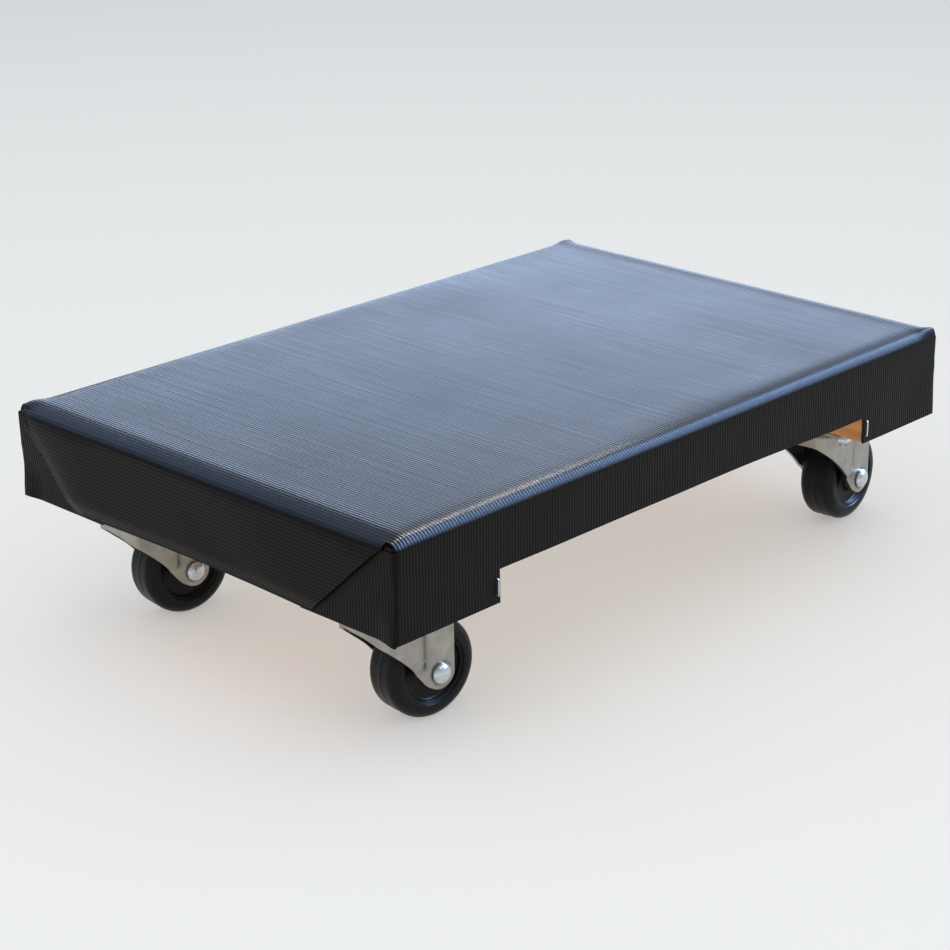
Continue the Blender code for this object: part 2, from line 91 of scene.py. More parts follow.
# ---------------------------------------------------------------- small tools
def linear(hex_color):
    """An sRGB hex colour as linear RGBA."""
    channels = [int(hex_color[i:i + 2], 16) / 255 for i in (1, 3, 5)]
    return (*(c / 12.92 if c <= 0.04045 else ((c + 0.055) / 1.055) ** 2.4 for c in channels), 1.0)


def add_node(tree, kind, inputs=None, **settings):
    """One node with its settings; an input takes a value, or the socket that feeds it."""
    made = tree.nodes.new(kind)
    for name, value in settings.items():
        setattr(made, name, value)
    for key, value in (inputs or {}).items():
        if isinstance(value, bpy.types.NodeSocket):
            tree.links.new(value, made.inputs[key])
        else:
            made.inputs[key].default_value = value
    return made


def smooth_step(low, high, value):
    t = min(max((value - low) / (high - low), 0.0), 1.0)
    return t * t * (3 - 2 * t)


def mix(a, b, t):
    return a + (b - a) * t


def between(table, value):
    """The value at a place in a table of (place, value) pairs, straight between them."""
    for (low, a), (high, b) in zip(table, table[1:]):
        if value <= high:
            return mix(a, b, max(value - low, 0.0) / (high - low))
    return table[-1][1]


def link_mesh(name, mesh):
    obj = bpy.data.objects.new(name, mesh)
    bpy.context.scene.collection.objects.link(obj)
    return obj


def mesh_of(obj):
    """The object's mesh with its modifiers worked in; the object is removed."""
    graph = bpy.context.evaluated_depsgraph_get()
    graph.update()
    mesh = bpy.data.meshes.new_from_object(obj.evaluated_get(graph), depsgraph=graph)
    mesh.transform(obj.matrix_world)
    bpy.data.objects.remove(obj, do_unlink=True)
    return mesh


def mesh_from(name, bm):
    """The working mesh as a finished one; the working mesh is freed."""
    made = bpy.data.meshes.new(name)
    bm.to_mesh(made)
    bm.free()
    return made


def joined(name, meshes):
    """Several meshes as one."""
    bm = bmesh.new()
    for mesh in meshes:
        bm.from_mesh(mesh)
    return mesh_from(name, bm)


def placed(mesh, matrix):
    """A copy of the mesh, moved."""
    made = mesh.copy()
    made.transform(matrix)
    return made


def lathe(name, profile, steps, closed=False):
    """A profile of (radius, height) points turned about Z; points at radius 0 become poles."""
    bm = bmesh.new()
    rings = []
    for radius, height in profile:
        if radius < 1e-7:
            rings.append([bm.verts.new((0, 0, height))])
            continue
        ring = []
        for i in range(steps):
            angle = 2 * math.pi * i / steps
            ring.append(bm.verts.new((radius * math.cos(angle), radius * math.sin(angle), height)))
        rings.append(ring)
    pairs = list(zip(rings, rings[1:]))
    if closed:
        pairs.append((rings[-1], rings[0]))
    for upper, lower in pairs:
        for i in range(steps):
            j = (i + 1) % steps
            corners = [upper[i % len(upper)], lower[i % len(lower)],
                       lower[j % len(lower)], upper[j % len(upper)]]
            bm.faces.new(list(dict.fromkeys(corners)))
    bmesh.ops.recalc_face_normals(bm, faces=bm.faces)
    return mesh_from(name, bm)


def arc(centre, radius, start, end, steps):
    """Points on an arc, angles in degrees, both ends included."""
    points = []
    for i in range(steps + 1):
        angle = math.radians(start + (end - start) * i / steps)
        points.append((centre[0] + radius * math.cos(angle), centre[1] + radius * math.sin(angle)))
    return points


def smooth_line(points, step):
    """A smooth line through the points, cut into steps of about that length."""
    ends = [points[0], *points, points[-1]]
    fine = []
    for a, b, c, d in zip(ends, ends[1:], ends[2:], ends[3:]):
        for k in range(12):
            t = k / 12
            fine.append(tuple(
                0.5 * (2 * b[i] + (c[i] - a[i]) * t + (2 * a[i] - 5 * b[i] + 4 * c[i] - d[i]) * t ** 2
                       + (3 * b[i] - a[i] - 3 * c[i] + d[i]) * t ** 3) for i in range(len(b))))
    fine.append(tuple(points[-1]))
    kept, run = [fine[0]], 0.0
    for a, b in zip(fine, fine[1:]):
        run += math.dist(a, b)
        if run >= step:
            kept.append(b)
            run = 0.0
    if math.dist(kept[-1], fine[-1]) > step / 3:
        kept.append(fine[-1])
    else:
        kept[-1] = fine[-1]
    return kept


def rounded(mesh, width, segments=2, degrees=40):
    """The mesh with its sharp edges eased."""
    obj = link_mesh("rounded", mesh)
    bevel = obj.modifiers.new("eased", "BEVEL")
    bevel.width = width
    bevel.segments = segments
    bevel.limit_method = "ANGLE"
    bevel.angle_limit = math.radians(degrees)
    return mesh_of(obj)


def shade(mesh, degrees=35):
    mesh.shade_smooth()
    mesh.set_sharp_from_angle(angle=math.radians(degrees))
    return mesh


def finish_piece(name, mesh, shader, body, slot, *replaced):
    """A finished piece at the origin that rides on its body."""
    mesh.materials.clear()
    mesh.materials.append(shader)
    obj = link_mesh(name, mesh)
    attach(obj, body)
    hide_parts(*replaced)
    return obj


# ---------------------------------------------------------------- materials
def new_shader(name):
    made = bpy.data.materials.new(name)
    made.use_nodes = True
    tree = made.node_tree
    return made, tree, tree.nodes["Principled BSDF"]


def bumped(tree, shader, height, strength, distance):
    bump = add_node(tree, "ShaderNodeBump", {"Height": height, "Strength": strength, "Distance": distance})
    tree.links.new(bump.outputs["Normal"], shader.inputs["Normal"])


def colour_ramp(tree, factor, low, high, start=0.0, end=1.0):
    ramp = add_node(tree, "ShaderNodeValToRGB", {"Fac": factor})
    ramp.color_ramp.elements[0].position = start
    ramp.color_ramp.elements[0].color = low
    ramp.color_ramp.elements[1].position = end
    ramp.color_ramp.elements[1].color = high
    return ramp.outputs["Color"]


def spread(tree, factor, low, high):
    """A 0 to 1 factor taken to low to high."""
    made = add_node(tree, "ShaderNodeMapRange", {"Value": factor, "To Min": low, "To Max": high})
    return made.outputs["Result"]


def calendered_rubber():
    """Fine-ribbed rubber matting, calendered: smooth crests with a satin gloss, dust held in the grooves."""
    made, tree, shader = new_shader("calendered_ribbed_rubber")
    where = add_node(tree, "ShaderNodeTexCoord")
    ribs = add_node(tree, "ShaderNodeMapping", {"Vector": where.outputs["UV"], "Scale": (1.0, 0.02, 1.0)})
    streaks = add_node(tree, "ShaderNodeTexNoise", {"Vector": ribs.outputs["Vector"], "Scale": 420.0,
                                                    "Detail": 3.0, "Roughness": 0.6})
    clouds = add_node(tree, "ShaderNodeTexNoise", {"Vector": where.outputs["Object"], "Scale": 9.0,
                                                   "Detail": 4.0, "Roughness": 0.55})
    grain = add_node(tree, "ShaderNodeTexNoise", {"Vector": where.outputs["Object"], "Scale": 1800.0,
                                                  "Detail": 2.0})
    along = add_node(tree, "ShaderNodeSeparateXYZ", {"Vector": where.outputs["UV"]})
    turns = add_node(tree, "ShaderNodeMath", {0: along.outputs["X"], 1: math.pi / RIB_PITCH},
                     operation="MULTIPLY")
    wave = add_node(tree, "ShaderNodeMath", {0: turns.outputs[0]}, operation="SINE")
    crest = add_node(tree, "ShaderNodeMath", {0: wave.outputs[0]}, operation="ABSOLUTE")
    groove = add_node(tree, "ShaderNodeMapRange", {"Value": crest.outputs[0], "From Max": 0.45,
                                                   "To Min": 1.0, "To Max": 0.0})
    dusty = add_node(tree, "ShaderNodeMath", {0: groove.outputs["Result"], 1: clouds.outputs["Fac"]},
                     operation="MULTIPLY")
    tint = colour_ramp(tree, dusty.outputs[0], linear("#0D0A08"), linear("#15110F"), 0.1, 0.9)
    tree.links.new(tint, shader.inputs["Base Color"])
    both = add_node(tree, "ShaderNodeMath", {0: streaks.outputs["Fac"], 1: clouds.outputs["Fac"]},
                    operation="ADD")
    rough = add_node(tree, "ShaderNodeMapRange", {"Value": both.outputs[0], "From Min": 0.6,
                                                  "From Max": 1.4, "To Min": 0.25, "To Max": 0.38})
    tree.links.new(rough.outputs["Result"], shader.inputs["Roughness"])
    shader.inputs["IOR"].default_value = 1.2
    bumped(tree, shader, grain.outputs["Fac"], 0.2, 0.00004)
    return made


def hard_rubber():
    """Moulded hard rubber of the wheels: a satin black with soft sheen, dulled a little where it has rolled."""
    made, tree, shader = new_shader("moulded_hard_rubber")
    where = add_node(tree, "ShaderNodeTexCoord")
    clouds = add_node(tree, "ShaderNodeTexNoise", {"Vector": where.outputs["Object"], "Scale": 60.0,
                                                   "Detail": 5.0, "Roughness": 0.6})
    grain = add_node(tree, "ShaderNodeTexNoise", {"Vector": where.outputs["Object"], "Scale": 900.0,
                                                  "Detail": 3.0})
    tint = colour_ramp(tree, clouds.outputs["Fac"], linear("#030304"), linear("#070708"), 0.35, 0.75)
    tree.links.new(tint, shader.inputs["Base Color"])
    tree.links.new(spread(tree, clouds.outputs["Fac"], 0.30, 0.48), shader.inputs["Roughness"])
    shader.inputs["IOR"].default_value = 1.3
    bumped(tree, shader, grain.outputs["Fac"], 0.3, 0.00006)
    return made


def zinc_sheet():
    """Pressed steel sheet, bright zinc plated: a soft grey metal,
    faintly mottled, with painted shade along the leg's crease and a painted shadow ring round the axle head's
    rim."""
    made, tree, shader = new_shader("zinc_plated_steel_sheet")
    where = add_node(tree, "ShaderNodeTexCoord")
    drawn = add_node(tree, "ShaderNodeMapping", {"Vector": where.outputs["Object"],
                                                 "Scale": (1.0, 1.0, 0.12)})
    lines = add_node(tree, "ShaderNodeTexNoise", {"Vector": drawn.outputs["Vector"], "Scale": 260.0,
                                                  "Detail": 4.0, "Roughness": 0.6})
    mottle = add_node(tree, "ShaderNodeTexNoise", {"Vector": where.outputs["Object"], "Scale": 70.0,
                                                   "Detail": 5.0, "Roughness": 0.65})
    tint = colour_ramp(tree, mottle.outputs["Fac"], linear("#918E86"), linear("#ADAAA2"), 0.3, 0.7)
    # Painted shade: a darker grey is mixed in along the leg's crease and as a painted shadow ring round the
    # axle head.
    shade_paint = add_node(tree, "ShaderNodeAttribute", attribute_name="press_marks")
    shaded_tint = add_node(tree, "ShaderNodeMix", {"Factor": shade_paint.outputs["Fac"], 6: tint,
                                              7: linear("#57544F")}, data_type="RGBA")
    tree.links.new(shaded_tint.outputs[2], shader.inputs["Base Color"])
    shader.inputs["Metallic"].default_value = 1.0
    tree.links.new(spread(tree, lines.outputs["Fac"], 0.26, 0.44), shader.inputs["Roughness"])
    bumped(tree, shader, mottle.outputs["Fac"], 0.12, 0.0004)
    return made


def zinc_hardware():
    """Turned and headed steel, bright zinc plated with a blue passivate: sharper reflections, cool tone."""
    made, tree, shader = new_shader("blue_passivated_zinc_hardware")
    where = add_node(tree, "ShaderNodeTexCoord")
    mottle = add_node(tree, "ShaderNodeTexNoise", {"Vector": where.outputs["Object"], "Scale": 320.0,
                                                   "Detail": 4.0})
    tint = colour_ramp(tree, mottle.outputs["Fac"], linear("#BCC2C9"), linear("#DDE3EA"), 0.3, 0.7)
    tree.links.new(tint, shader.inputs["Base Color"])
    shader.inputs["Metallic"].default_value = 1.0
    tree.links.new(spread(tree, mottle.outputs["Fac"], 0.20, 0.32), shader.inputs["Roughness"])
    return made


def varnished_hardwood(name, grain_axis, dark, light):
    """Sawn hardwood under a thin amber varnish: grain lines a few millimetres apart along the board."""
    made, tree, shader = new_shader(name)
    where = add_node(tree, "ShaderNodeTexCoord")
    scale = [1.0, 1.0, 1.0]
    scale[grain_axis] = 0.05
    fibres = add_node(tree, "ShaderNodeMapping", {"Vector": where.outputs["Object"], "Scale": scale})
    figure = add_node(tree, "ShaderNodeTexNoise", {"Vector": fibres.outputs["Vector"], "Scale": 45.0,
                                                   "Detail": 6.0, "Roughness": 0.6, "Distortion": 0.6})
    pores = add_node(tree, "ShaderNodeTexNoise", {"Vector": fibres.outputs["Vector"], "Scale": 700.0,
                                                  "Detail": 3.0})
    both = add_node(tree, "ShaderNodeMath", {0: figure.outputs["Fac"], 1: 0.8}, operation="MULTIPLY")
    mixed = add_node(tree, "ShaderNodeMath", {0: pores.outputs["Fac"], 1: 0.2, 2: both.outputs[0]},
                     operation="MULTIPLY_ADD")
    tint = colour_ramp(tree, mixed.outputs[0], linear(dark), linear(light), 0.36, 0.64)
    tree.links.new(tint, shader.inputs["Base Color"])
    tree.links.new(spread(tree, pores.outputs["Fac"], 0.34, 0.55), shader.inputs["Roughness"])
    shader.inputs["Coat Weight"].default_value = 0.35
    shader.inputs["Coat Roughness"].default_value = 0.25
    bumped(tree, shader, pores.outputs["Fac"], 0.3, 0.0002)
    return made


def pale_floor():
    made, tree, shader = new_shader("pale_floor")
    shader.inputs["Base Color"].default_value = linear("#F4F4F3")
    shader.inputs["Roughness"].default_value = 0.9
    shader.inputs["Specular IOR Level"].default_value = 0.1
    return made


# ---------------------------------------------------------------- Geometry Nodes trees
def new_tree(name, inputs):
    """An empty tree with a geometry input and output, and named inputs for its sizes."""
    tree = bpy.data.node_groups.new(name, "GeometryNodeTree")
    tree.interface.new_socket("Geometry", in_out="INPUT", socket_type="NodeSocketGeometry")
    for label, kind in inputs:
        tree.interface.new_socket(label, in_out="INPUT", socket_type="NodeSocket" + kind)
    tree.interface.new_socket("Geometry", in_out="OUTPUT", socket_type="NodeSocketGeometry")
    return tree, add_node(tree, "NodeGroupInput").outputs


def end_tree(tree, geometry, shader):
    real = add_node(tree, "GeometryNodeRealizeInstances", {"Geometry": geometry})
    painted = add_node(tree, "GeometryNodeSetMaterial", {"Geometry": real.outputs["Geometry"],
                                                         "Material": shader})
    add_node(tree, "NodeGroupOutput", {"Geometry": painted.outputs["Geometry"]})
    return tree


def rib_tree():
    """Raises the mat's ribs along its normals, from the distance run along the mat."""
    tree, given = new_tree("mat_ribs", (("Rib Pitch", "Float"), ("Rib Height", "Float"),
                                        ("Material", "Material")))
    run = add_node(tree, "GeometryNodeInputNamedAttribute", {"Name": "run"}, data_type="FLOAT")
    ribs = add_node(tree, "ShaderNodeMath", {0: run.outputs["Attribute"], 1: given["Rib Pitch"]},
                    operation="DIVIDE")
    turns = add_node(tree, "ShaderNodeMath", {0: ribs.outputs[0], 1: math.pi}, operation="MULTIPLY")
    wave = add_node(tree, "ShaderNodeMath", {0: turns.outputs[0]}, operation="SINE")
    crest = add_node(tree, "ShaderNodeMath", {0: wave.outputs[0]}, operation="ABSOLUTE")
    full = add_node(tree, "ShaderNodeMath", {0: crest.outputs[0], 1: 0.65}, operation="POWER")
    relief = add_node(tree, "GeometryNodeInputNamedAttribute", {"Name": "relief"}, data_type="FLOAT")
    share = add_node(tree, "ShaderNodeMath", {0: full.outputs[0], 1: relief.outputs["Attribute"]},
                     operation="MULTIPLY")
    height = add_node(tree, "ShaderNodeMath", {0: share.outputs[0], 1: given["Rib Height"]},
                      operation="MULTIPLY")
    normal = add_node(tree, "GeometryNodeInputNormal")
    lift = add_node(tree, "ShaderNodeVectorMath", {0: normal.outputs["Normal"], "Scale": height.outputs[0]},
                    operation="SCALE")
    moved = add_node(tree, "GeometryNodeSetPosition", {"Geometry": given["Geometry"],
                                                       "Offset": lift.outputs["Vector"]})
    return end_tree(tree, moved.outputs["Geometry"], given["Material"])


def fixings_tree():
    """Sets the same fixing on every point of a mesh, each turned by the point's own angle."""
    tree, given = new_tree("fixings_on_points", (("Fixing", "Object"), ("Material", "Material")))
    fixing = add_node(tree, "GeometryNodeObjectInfo", {"Object": given["Fixing"]})
    turn = add_node(tree, "GeometryNodeInputNamedAttribute", {"Name": "turn"}, data_type="FLOAT")
    around = add_node(tree, "ShaderNodeCombineXYZ", {"Z": turn.outputs["Attribute"]})
    rotation = add_node(tree, "FunctionNodeEulerToRotation", {0: around.outputs["Vector"]})
    set_on = add_node(tree, "GeometryNodeInstanceOnPoints", {"Points": given["Geometry"],
                                                             "Instance": fixing.outputs["Geometry"],
                                                             "Rotation": rotation.outputs[0]})
    return end_tree(tree, set_on.outputs["Instances"], given["Material"])


def ball_tree():
    """A ring of bearing balls."""
    tree, given = new_tree("bearing_balls", (("Balls", "Int"), ("Ring Radius", "Float"),
                                             ("Ball Radius", "Float"), ("Material", "Material")))
    ring = add_node(tree, "GeometryNodeMeshCircle", {"Vertices": given["Balls"],
                                                     "Radius": given["Ring Radius"]})
    ball = add_node(tree, "GeometryNodeMeshUVSphere", {"Segments": 12, "Rings": 8,
                                                       "Radius": given["Ball Radius"]})
    set_on = add_node(tree, "GeometryNodeInstanceOnPoints", {"Points": ring.outputs["Mesh"],
                                                             "Instance": ball.outputs["Mesh"]})
    return end_tree(tree, set_on.outputs["Instances"], given["Material"])


def run_tree(mesh, tree, **inputs):
    """The mesh that the tree makes of a mesh, with each input set by its socket's identifier."""
    obj = link_mesh(tree.name, mesh)
    modifier = obj.modifiers.new(tree.name, "NODES")
    modifier.node_group = tree
    for item in tree.interface.items_tree:
        key = item.name.replace(" ", "_")
        if item.in_out == "INPUT" and key in inputs:
            modifier[item.identifier] = inputs[key]
    return mesh_of(obj)


def points_mesh(places):
    """A mesh of loose points; each place is (x, y, z, turn in radians)."""
    mesh = bpy.data.meshes.new("places")
    mesh.from_pydata([p[:3] for p in places], [], [])
    turn = mesh.attributes.new("turn", "FLOAT", "POINT")
    turn.data.foreach_set("value", [p[3] for p in places])
    return mesh


def set_fixings(name, fixing, places, shader, replaced):
    """One piece on the deck of many like fixings."""
    pattern = link_mesh(name + "_pattern", fixing)
    mesh = run_tree(points_mesh(places), fixings_tree(), Fixing=pattern, Material=shader)
    bpy.data.objects.remove(pattern, do_unlink=True)
    finish_piece(name, shade(mesh), shader, "deck", "bright_steel", *replaced)


# ---------------------------------------------------------------- the mat
def soft(x, y, z, size, amount, seed=0.0):
    """A smooth unevenness of about that size and amount."""
    return amount * noise.noise(Vector((x / size + seed, y / size, z / size)))


class Shoulder:
    """The mat's path over an edge, from its tilts: how far out and down it has come."""

    def __init__(self, tilts):
        self.length = tilts[-1][0] * MM
        self.table = [(0.0, 0.0)]
        self.step = 0.25 * MM
        for i in range(round(self.length / self.step)):
            tilt = math.radians(between(tilts, (i + 0.5) * self.step / MM))
            out, down = self.table[-1]
            self.table.append((out + self.step * math.cos(tilt), down + self.step * math.sin(tilt)))
        self.out, self.down = self.table[-1]

    def at(self, run):
        if run <= 0:
            return run, 0.0
        if run >= self.length:
            return self.out, self.down + run - self.length
        i = int(run / self.step)
        share = run / self.step - i
        return tuple(mix(a, b, share) for a, b in zip(self.table[i], self.table[i + 1]))

    def down_at(self, out):
        """How far down the mat is where it has come that far out."""
        return between([(o, d) for o, d in self.table], out) if out > 0 else 0.0


LONG = Shoulder(LONG_TILTS)
END = Shoulder(END_TILTS)
SIDE_START = HALF_WIDTH - LONG.out
END_START = HALF_LENGTH - END.out

# Rows run along the deck, from its middle line outwards and down; columns stand a quarter of a rib apart.
FLAT_ROWS = [SIDE_START * v for v in (0, 0.27, 0.54, 0.76, 0.89, 0.955)]
TURN_ROWS = [SIDE_START + v * MM for v in (0, 5, 9, 12, 14.5, 16, 17.5, 19.3, 21, 22, 23)]
SIDE_ROWS = [SIDE_START + LONG.length + v - LONG.down
             for v in [mix(LONG.down, NOTCH_DEPTH, i / 5) for i in range(1, 6)]
             + [mix(NOTCH_DEPTH, SKIRT, i / 3) for i in range(1, 4)]]
ROWS = FLAT_ROWS + TURN_ROWS + SIDE_ROWS
FLAP_ROW = len(FLAT_ROWS) + 2
WRAP_ROW = len(FLAT_ROWS) + 8
NOTCH_ROW = len(FLAT_ROWS) + len(TURN_ROWS) + 4
BODY_COLUMN = int((END_START + 14.5 * MM) / RIB_STEP)
FLAP_COLUMN = int((END_START + END.length + SKIRT - END.down) / RIB_STEP) - 1
WRAP_COLUMN = int((HALF_LENGTH + 92 * MM) / RIB_STEP)
# Half the end flap's width at a depth below the top: at the corner that stands open, and at the others.
OPEN_FLAP = ((0.0, 195.0 * MM), (6 * MM, 194.5 * MM), (74 * MM, 121 * MM))
CLOSED_FLAP = ((0.0, 205.7 * MM), (6 * MM, 204.5 * MM), (74 * MM, 141 * MM))


def is_open(end, side):
    """The corner at the front left was folded less tightly, and stands a little open."""
    return end < 0 and side < 0


def flap_row(end, side):
    """The row that is the edge of the end flap."""
    return FLAP_ROW if is_open(end, side) else WRAP_ROW


def wrap_row(end, side):
    """The row where the side's sheet begins to go round the corner."""
    return WRAP_ROW + (2 if is_open(end, side) else 0)


def around_corner(run, depth, end, side):
    """The side's sheet round the vertical corner: its x, how far in from the side it is, and its turn."""
    slack = is_open(end, side)
    radius = mix((4.5 if slack else 3.4) * MM, 2.7 * MM, smooth_step(10 * MM, 40 * MM, depth))
    inset = 2.8 if slack else 0.6 if end < 0 else 3.2
    corner = HALF_LENGTH - mix(inset, 3.0, smooth_step(8 * MM, 60 * MM, depth)) * MM
    past = run - (corner - radius)
    if past <= 0:
        return run, 0.0, 0.0
    angle = min(past / radius, math.pi / 2)
    inset = radius * (1 - math.cos(angle)) + max(0.0, past - radius * math.pi / 2)
    flare = 2 * MM * smooth_step(45 * MM, SKIRT, depth) * (1 - smooth_step(4 * MM, 22 * MM, inset))
    return corner - radius + radius * math.sin(angle) + flare * math.sin(angle), inset, angle


def side_unevenness(x, side, depth):
    """The side's soft unevenness, with the faint crease that packing left near each corner."""
    y = smooth_step(10 * MM, 30 * MM, depth) * soft(x, side * 3.0, -depth, 0.07, 0.7 * MM)
    crease = math.exp(-(((depth - 33 * MM) / (2.5 * MM)) ** 2))
    return y + 0.35 * MM * crease * smooth_step(0.21, 0.25, abs(x))


def mat_point(column, row):
    """The groove level of the mat at a column and a row; both are signed, and count from the middle."""
    end, side = math.copysign(1, column), math.copysign(1, row)
    run, across = abs(column) * RIB_STEP, ROWS[abs(row)]
    out, down = LONG.at(across - SIDE_START)
    y = SIDE_START + out
    e_out, e_down = END.at(run - END_START)
    x_over = END_START + e_out
    if abs(row) <= flap_row(end, side) and abs(column) > BODY_COLUMN:
        edge = y
        share = edge / (SIDE_START + LONG.at(ROWS[flap_row(end, side)] - SIDE_START)[0])
        widths = OPEN_FLAP if is_open(end, side) else CLOSED_FLAP
        depth = e_down + down * (1 - smooth_step(3 * MM, 18 * MM, e_down))
        y = mix(edge, share * between(widths, e_down), smooth_step(1.5 * MM, 4 * MM, e_down))
        bulge = smooth_step(2 * MM, 14 * MM, e_down) * (1 - smooth_step(58 * MM, 75 * MM, e_down))
        bulge *= 1 - smooth_step(0.8, 1, share) * (1 - smooth_step(6 * MM, 20 * MM, e_down))
        curl = 1.6 * MM * smooth_step(62 * MM, 75 * MM, e_down)
        wave = 0.9 * MM + soft(end * x_over, side * y, -e_down, 0.05, 1.5 * MM, 3.0)
        lift = 2.5 * MM * (1 - share ** 2) * smooth_step(50 * MM, 75 * MM, e_down)
        if not is_open(end, side):
            curl += (1.0 if end < 0 else 3.2) * MM * smooth_step(0.9, 1, share) * smooth_step(0, 5 * MM, e_down)
        lift += corner_lift(run, down, end, side) * (1 - smooth_step(1 * MM, 6 * MM, e_down))
        return Vector((end * (x_over + bulge * wave - curl), side * y, TOP - depth + lift))
    if abs(row) >= wrap_row(end, side) and abs(column) > BODY_COLUMN:
        x, inset, _ = around_corner(run, down, end, side)
        y = HALF_WIDTH - inset
        uneven = side_unevenness(x, side, down) * (1 - smooth_step(0, 6 * MM, inset))
        sag = 1.5 * MM * smooth_step(45 * MM, SKIRT, down) * math.exp(-((inset / (8 * MM)) ** 2))
        return Vector((end * x, side * (y + uneven), TOP - down - (sag if is_open(end, side) else 0)))
    lowered = 1 - 0.7 * smooth_step(0.190, 0.203, y)
    top_share = 1 - smooth_step(SIDE_START, HALF_WIDTH - 2 * MM, y)
    z = TOP - down - e_down * lowered * (1 - smooth_step(4 * MM, 9 * MM, down))
    x = end * x_over
    z += corner_lift(run, down, end, side)
    z += top_share * soft(x, side * y, 0, 0.16, 0.35 * MM)
    if side < 0:
        swell = math.exp(-(((y - 178 * MM) / (4.5 * MM)) ** 2) - ((x - 30 * MM) / (75 * MM)) ** 2)
        z += 0.4 * MM * swell
    wrapped = smooth_step(2 * MM, 8 * MM, down)
    x_round, inset, _ = around_corner(run, max(down, LONG.down), end, side)
    x = end * mix(x_over, x_round, wrapped)
    y -= wrapped * inset
    y += side_unevenness(x, side, down)
    dip = 3 * MM * smooth_step(0.05, 0.19, x) * smooth_step(25 * MM, NOTCH_DEPTH, down)
    if abs(x) < NOTCH_X + 2 * RIB_PITCH:
        z -= dip * (1 - smooth_step(NOTCH_DEPTH, SKIRT, down))
    return Vector((x, side * y, z))


def corner_lift(run, down, end, side):
    """Near a closed corner the fold over the side is squarer."""
    full = LONG.at(ROWS[WRAP_ROW] - SIDE_START)[1]
    share = min(down / full, 1.0)
    near = 0.0 if is_open(end, side) else smooth_step(END_START - 12 * MM, END_START + 8 * MM, run)
    return 2.6 * MM * 4 * share * (1 - share) * near


def has_face(column, row):
    """Whether the mat has a face from this column and row to the next ones up."""
    columns, rows = (column, column + 1), (row, row + 1)
    far = max(abs(c) for c in columns)
    lowest, highest = max(abs(r) for r in rows), min(abs(r) for r in rows)
    end, side = math.copysign(1, column + 0.5), math.copysign(1, row + 0.5)
    if far <= BODY_COLUMN:
        return lowest <= NOTCH_ROW or min(abs(c) for c in columns) * RIB_STEP > NOTCH_X
    if lowest <= flap_row(end, side):
        return far <= FLAP_COLUMN
    if highest >= wrap_row(end, side):
        depth = LONG.at(ROWS[highest] - SIDE_START)[1]
        return far * RIB_STEP < HALF_LENGTH + 22 * MM + 1.07 * depth and far <= WRAP_COLUMN
    return False


def rib_relief(run, across):
    """The ribs stand full on the folds and sides; on top they are trodden lower, some more than others."""
    side = smooth_step(SIDE_START - 4 * MM, SIDE_START + 10 * MM, abs(across))
    end = smooth_step(END_START - 14 * MM, END_START + 4 * MM, abs(run))
    rib = math.floor(run / RIB_PITCH + 0.001)
    worn = 0.34 + 0.2 * noise.noise(Vector((rib * 0.73, across / 0.11, 0.5)))
    return mix(worn, 1.0, max(side, end))


class MatMesh:
    """Collects the mat's points and faces; a point is known by its key."""

    def __init__(self):
        self.points, self.faces, self.index, self.flat = [], [], {}, []

    def point(self, key, place, run, across):
        if key not in self.index:
            self.index[key] = len(self.points)
            self.points.append(tuple(place))
            self.flat.append((run, across))
        return self.index[key]

    def mesh(self):
        made = bpy.data.meshes.new("mat_sheet")
        made.from_pydata(self.points, [], self.faces)
        run = made.attributes.new("run", "FLOAT", "POINT")
        run.data.foreach_set("value", [f[0] for f in self.flat])
        relief = made.attributes.new("relief", "FLOAT", "POINT")
        relief.data.foreach_set("value", [rib_relief(*f) for f in self.flat])
        uv = made.uv_layers.new(name="along_and_across")
        for loop in made.loops:
            uv.data[loop.index].uv = self.flat[loop.vertex_index]
        return made


def add_tucks(mat):
    """What shows in the open corners: the wrap's top rolled inwards, and a tucked layer behind it."""
    roll = ((1.2, -0.4), (3.0, 0.2), (5.0, 2.2))  # inwards and down from the wrap's top, in millimetres
    lining_x = HALF_LENGTH - 5.7 * MM
    for end in (-1, 1):
        for side in (-1, 1):
            last = int((HALF_LENGTH + 26 * MM) / RIB_STEP)
            top_row = side * wrap_row(end, side)
            across = side * ROWS[abs(top_row)]
            for column in range(BODY_COLUMN, last + 1):
                run = column * RIB_STEP
                edge = mat_point(end * column, top_row)
                _, _, angle = around_corner(run, TOP - edge.z, end, side)
                mat.point((end * column, top_row), edge, end * run, across)
                for k, (inward, lower) in enumerate(roll):
                    place = edge + MM * Vector((-end * inward * math.sin(angle),
                                                -side * inward * math.cos(angle), -lower))
                    mat.point(("roll", end * column, side, k), place, end * run, across)
            for column in range(BODY_COLUMN, last):
                keys = [(end * column, top_row)] + [("roll", end * column, side, k) for k in range(3)]
                following = [(end * (column + 1), top_row)]
                following += [("roll", end * (column + 1), side, k) for k in range(3)]
                for a, b, c, d in zip(keys, following, following[1:], keys[1:]):
                    quad = [mat.index[k] for k in (a, b, c, d)]
                    mat.faces.append(quad if end * side > 0 else quad[::-1])
            steps = 40
            for i in range(steps + 1):
                y = HALF_WIDTH - 2.6 * MM - i * RIB_STEP
                under = LONG.down_at(y - SIDE_START) + END.down_at(lining_x - END_START) * 0.4
                top = under + MAT_THICKNESS + 0.6 * MM
                for k in range(4):
                    depth = mix(top, 28 * MM, k / 3)
                    place = (end * lining_x, side * y, TOP - depth)
                    mat.point(("lining", end, side, i, k), place, end * (HALF_LENGTH + i * RIB_STEP),
                              side * depth)
            for i in range(steps):
                for k in range(3):
                    quad = [mat.index["lining", end, side, *p] for p in
                            ((i, k), (i + 1, k), (i + 1, k + 1), (i, k + 1))]
                    mat.faces.append(quad[::-1] if end * side > 0 else quad)


